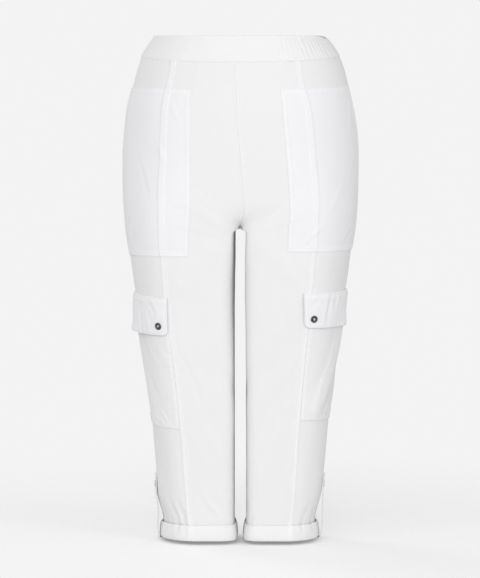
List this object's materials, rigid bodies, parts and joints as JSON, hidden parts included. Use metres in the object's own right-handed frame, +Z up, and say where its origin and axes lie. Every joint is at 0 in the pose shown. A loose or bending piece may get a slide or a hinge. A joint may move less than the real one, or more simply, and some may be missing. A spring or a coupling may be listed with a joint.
{
  "type": "cropped cargo trousers",
  "caption": "White pull-on cropped cargo trousers, filled out as worn: gathered waistband, patch and flapped thigh pockets, turned-up cuffs and buttoned tabs.",
  "frame": {"origin": "middle of the waistband's ring, half way up the band at its sides, where the wearer's waist holds the garment", "axes": "+Z up, the front faces -Y, +X is the wearer's left"},
  "size_m": [0.4041, 0.281, 0.8668],
  "materials": {
    "cloth": "matt twill",
    "snap": "dark antique metal",
    "button": "satin"
  },
  "bodies": {
    "root": {"back_L": "cloth", "back_R": "cloth", "back_leg_L": "cloth", "back_leg_R": "cloth", "cargo_flap_L": "cloth", "cargo_flap_R": "cloth", "cargo_pocket_L": "cloth", "cargo_pocket_R": "cloth", "cuff_L": "cloth", "cuff_R": "cloth", "front_L": "cloth", "front_R": "cloth", "front_leg_L": "cloth", "front_leg_R": "cloth", "front_pocket_L": "cloth", "front_pocket_R": "cloth", "roll_tab_L": "cloth", "roll_tab_R": "cloth", "side_front_L": "cloth", "side_front_R": "cloth", "side_front_leg_L": "cloth", "side_front_leg_R": "cloth", "snap_L_back": "snap", "snap_L_front": "snap", "snap_R_back": "snap", "snap_R_front": "snap", "tab_button_L": "button", "tab_button_R": "button", "waistband_back": "cloth", "waistband_front": "cloth"}
  },
  "joints": []
}
